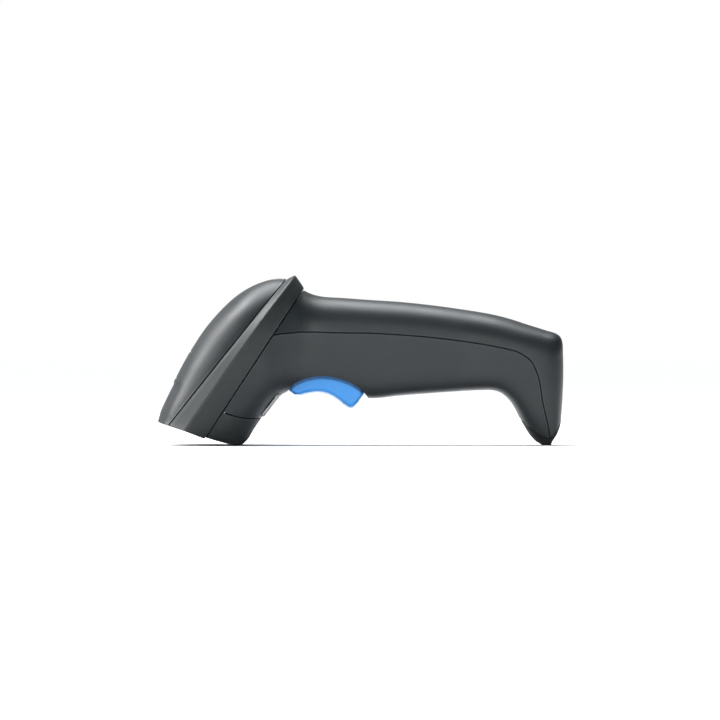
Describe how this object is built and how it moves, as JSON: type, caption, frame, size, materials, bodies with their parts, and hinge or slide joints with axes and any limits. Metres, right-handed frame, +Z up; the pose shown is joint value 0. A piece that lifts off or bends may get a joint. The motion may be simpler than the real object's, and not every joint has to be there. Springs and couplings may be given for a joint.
{
  "type": "handheld barcode scanner",
  "caption": "Pistol-style contact scanner: a hooded reading head with a bumper band, a slim handle with a trigger, and a hooked heel with a cable socket.",
  "frame": {"origin": "middle of the footprint, on the surface that the chin and the heel rest on", "axes": "+X from the nose to the heel, +Y to the right of the person who holds it, +Z up; y = 0 is the plane of symmetry of the casing"},
  "size_m": [0.1706, 0.072, 0.0714],
  "materials": {
    "shell": "fine moulded texture, satin",
    "band": "fine matt texture over crisp facets",
    "rubber": "soft black moulded rubber",
    "trigger": "smooth sky blue, slightly glossy",
    "label": "brushed silver foil",
    "badge": "plain dark inlay, smooth",
    "window": "polished dark red filter glass",
    "clear": "clear moulded lens",
    "steel": "zinc plated",
    "black_plastic": "black engineering plastic",
    "board": "green solder resist",
    "chip": "black moulded package",
    "ceramic": "off-white ceramic or nylon",
    "mirror": "front-surface mirror",
    "ribbon": "polyester flat flexible cable",
    "foam": "closed-cell foam"
  },
  "bodies": {
    "casing": {"hood_shell": "shell", "bumper_band": "band", "lower_body": "shell", "upper_handle": "shell", "chin_guard": "band", "heel_boot": "rubber", "neck_label": "label", "hood_badge": "badge", "status_light_pipe": "clear", "window_bezel": "black_plastic", "exit_window": "window", "window_gasket": "foam", "cable_jack": "black_plastic", "optical_chassis": "black_plastic", "fold_mirror": "mirror", "lens_barrel": "black_plastic", "lens_glass": "clear", "line_sensor": "ceramic", "sensor_board": "board", "sensor_connector": "black_plastic", "lamp_board": "board", "lamp_1": "clear", "lamp_2": "clear", "lamp_3": "clear", "lamp_4": "clear", "lamp_5": "clear", "lamp_6": "clear", "trigger_pin": "steel", "trigger_spring": "steel", "switch_bracket": "black_plastic", "trigger_switch": "black_plastic", "main_board": "board", "status_led": "ceramic", "board_connector": "black_plastic", "processor": "chip", "memory_chip": "chip", "cable_connector": "black_plastic", "beeper": "black_plastic", "sensor_ribbon": "ribbon", "jack_ribbon": "ribbon", "handle_screw_front": "steel", "handle_screw_rear": "steel", "head_screw_left": "steel", "head_screw_right": "steel"},
    "trigger": {"trigger": "trigger"},
    "plunger": {"switch_plunger": "ceramic"}
  },
  "joints": [
    {"name": "trigger_pull", "type": "hinge", "parent": "casing", "child": "trigger", "pos_m": [-0.0273, 0, 0.0273], "axis": [0, -1, 0], "range_deg": [0, 6], "stiffness_Nm_per_rad": 0.35, "springref_deg": -6.88, "deforming": ["trigger_spring"]},
    {"name": "plunger_press", "type": "slide", "parent": "casing", "child": "plunger", "axis": [0, 0, 1], "range_m": [0, 0.001]}
  ],
  "couplings": [
    {"joint": "plunger_press", "follows": "trigger_pull", "m_per_rad": 0.0093}
  ]
}
